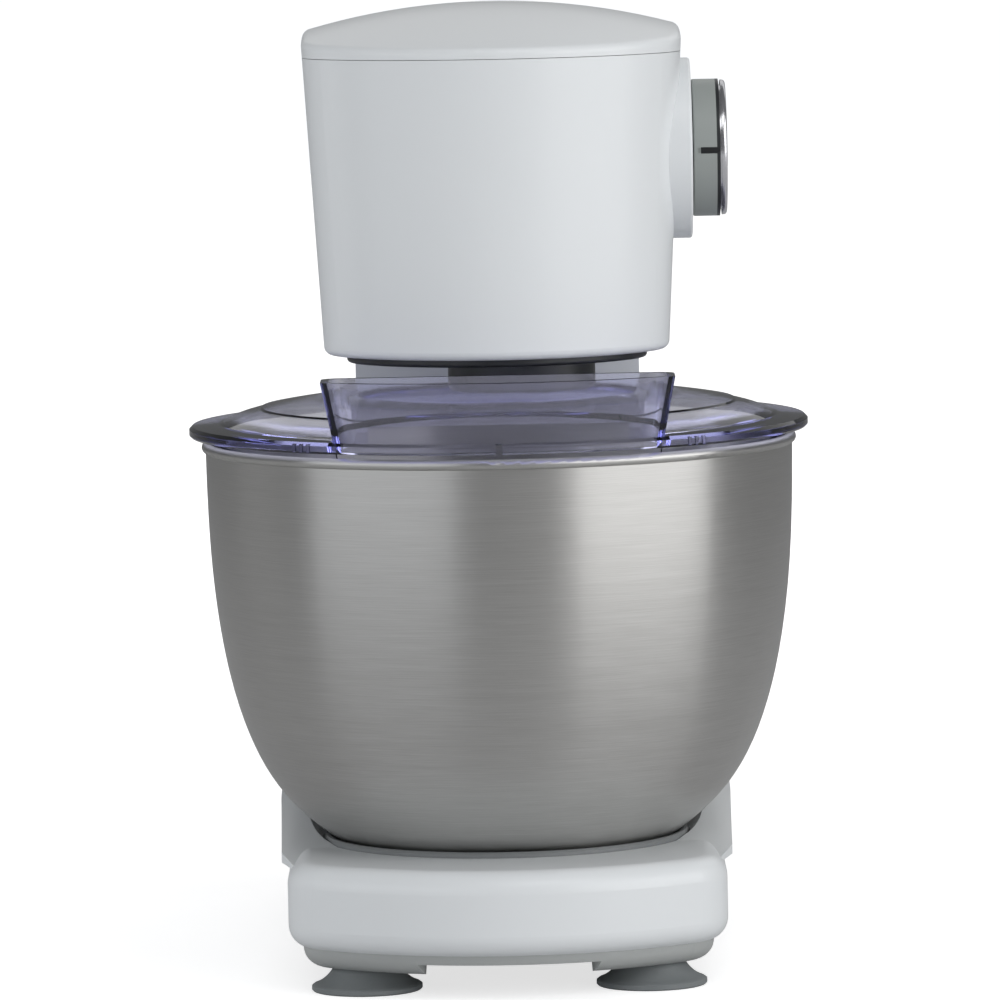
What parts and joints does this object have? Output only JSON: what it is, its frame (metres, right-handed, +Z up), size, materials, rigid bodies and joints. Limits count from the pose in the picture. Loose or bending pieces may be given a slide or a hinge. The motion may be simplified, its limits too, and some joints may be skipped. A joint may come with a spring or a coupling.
{
  "type": "stand mixer",
  "caption": "Planetary stand mixer with a tilting head, a deep steel bowl, a clear splash lid with a filling chute, a side speed knob and suction feet.",
  "frame": {"origin": "on the table, under the middle of the whole object's box", "axes": "+Z up, the front faces -Y, +X is the viewer's right with the speed knob on it"},
  "size_m": [0.2248, 0.3195, 0.35],
  "materials": {
    "white_shell": "satin white moulded plastic",
    "grey_plastic": "matt mid grey moulded plastic",
    "light_grey_plastic": "matt light grey moulded plastic",
    "black_plastic": "matt black moulded plastic",
    "clear_lid": "clear smoke-blue moulded plastic",
    "bowl_steel": "satin stainless steel, spun and brushed round its axis",
    "bright_trim": "bright plated trim",
    "steel": "turned and ground steel",
    "cast_alloy": "as-cast alloy",
    "gear_plastic": "natural acetal",
    "bronze": "sintered bronze",
    "laminations": "stacked electrical steel with windings",
    "foot_rubber": "soft grey rubber",
    "belt_rubber": "black ribbed rubber"
  },
  "bodies": {
    "base": {"base_plate": "grey_plastic", "base_screws": "steel", "base_shell": "white_shell", "bowl_seat_ring": "light_grey_plastic", "button_spring": "steel", "cord_gland": "black_plastic", "hinge_pin": "steel", "latch_guide": "black_plastic", "latch_spring": "steel", "rear_cover": "white_shell", "rear_cover_screws": "steel", "suction_foot_front_left": "foot_rubber", "suction_foot_front_right": "foot_rubber", "suction_foot_rear_left": "foot_rubber", "suction_foot_rear_right": "foot_rubber"},
    "release_button": {"release_button": "light_grey_plastic"},
    "latch": {"latch_bolt": "steel"},
    "bowl": {"mixing_bowl": "bowl_steel", "bowl_foot": "bowl_steel"},
    "arm": {"head_shell": "white_shell", "knob_escutcheon": "white_shell", "head_underplate": "black_plastic", "underplate_screws": "steel", "bowl_lid": "clear_lid", "gearbox_housing": "cast_alloy", "gearbox_cover": "cast_alloy", "ring_gear": "gear_plastic", "layshaft_bushes": "bronze", "drive_belt": "belt_rubber", "motor_frame": "cast_alloy", "motor_bearings": "steel", "stator": "laminations", "brush_holders": "black_plastic", "rotary_switch": "black_plastic", "control_board": "black_plastic", "hinge_bushes": "bronze", "tilt_spring": "steel"},
    "top_cover": {"top_cover": "white_shell"},
    "speed_knob": {"speed_knob": "grey_plastic", "knob_cap": "bright_trim", "knob_spindle": "steel"},
    "carrier": {"planet_carrier": "black_plastic", "carrier_gear": "gear_plastic"},
    "planet": {"planet_gear": "gear_plastic", "planet_shaft": "steel", "tool_socket": "black_plastic"},
    "layshaft": {"layshaft_pinion": "gear_plastic", "layshaft_wheel": "gear_plastic", "layshaft_pin": "steel"},
    "blender_drive": {"central_shaft": "steel", "central_pinion": "steel", "blender_coupling": "gear_plastic", "large_pulley": "gear_plastic"},
    "rotor": {"rotor_core": "laminations", "rotor_shaft": "steel", "cooling_fan": "black_plastic", "motor_pulley": "gear_plastic"}
  },
  "joints": [
    {"name": "arm_tilt", "type": "hinge", "parent": "base", "child": "arm", "pos_m": [0, 0.114, 0.15], "axis": [-1, 0, 0], "range_deg": [0, 42]},
    {"name": "release_press", "type": "slide", "parent": "base", "child": "release_button", "axis": [-1, 0, 0], "range_m": [0, 0.005], "stiffness_N_per_m": 500, "springref_m": -0.004, "deforming": ["button_spring"]},
    {"name": "latch_drop", "type": "slide", "parent": "base", "child": "latch", "axis": [0, 0, -1], "range_m": [0, 0.005], "stiffness_N_per_m": 400, "springref_m": -0.003, "deforming": ["latch_spring"]},
    {"name": "bowl_twist", "type": "hinge", "parent": "base", "child": "bowl", "pos_m": [0, -0.046, 0.0315], "axis": [0, 0, 1], "range_deg": [0, 30]},
    {"name": "top_cover_lift", "type": "slide", "parent": "arm", "child": "top_cover", "axis": [0, 0, 1], "range_m": [0, 0.06]},
    {"name": "knob_turn", "type": "hinge", "parent": "arm", "child": "speed_knob", "pos_m": [0.0713, -0.061, 0.2963], "axis": [1, 0, 0], "range_deg": [-45, 150]},
    {"name": "carrier_turn", "type": "hinge", "parent": "arm", "child": "carrier", "pos_m": [0, -0.046, 0.226], "axis": [0, 0, 1], "continuous": true},
    {"name": "planet_turn", "type": "hinge", "parent": "carrier", "child": "planet", "pos_m": [0.00871, -0.07314, 0.226], "axis": [0, 0, 1], "continuous": true},
    {"name": "layshaft_turn", "type": "hinge", "parent": "arm", "child": "layshaft", "pos_m": [0, -0.016, 0.25], "axis": [0, 0, 1], "continuous": true},
    {"name": "blender_turn", "type": "hinge", "parent": "arm", "child": "blender_drive", "pos_m": [0, -0.046, 0.29], "axis": [0, 0, 1], "continuous": true},
    {"name": "rotor_turn", "type": "hinge", "parent": "arm", "child": "rotor", "pos_m": [0, 0.11, 0.25], "axis": [0, 0, 1], "continuous": true}
  ],
  "couplings": [
    {"joint": "latch_drop", "follows": "release_press", "ratio": 1},
    {"joint": "planet_turn", "follows": "carrier_turn", "ratio": -3.375},
    {"joint": "layshaft_turn", "follows": "carrier_turn", "ratio": -4},
    {"joint": "blender_turn", "follows": "carrier_turn", "ratio": 16},
    {"joint": "rotor_turn", "follows": "carrier_turn", "ratio": 80}
  ]
}
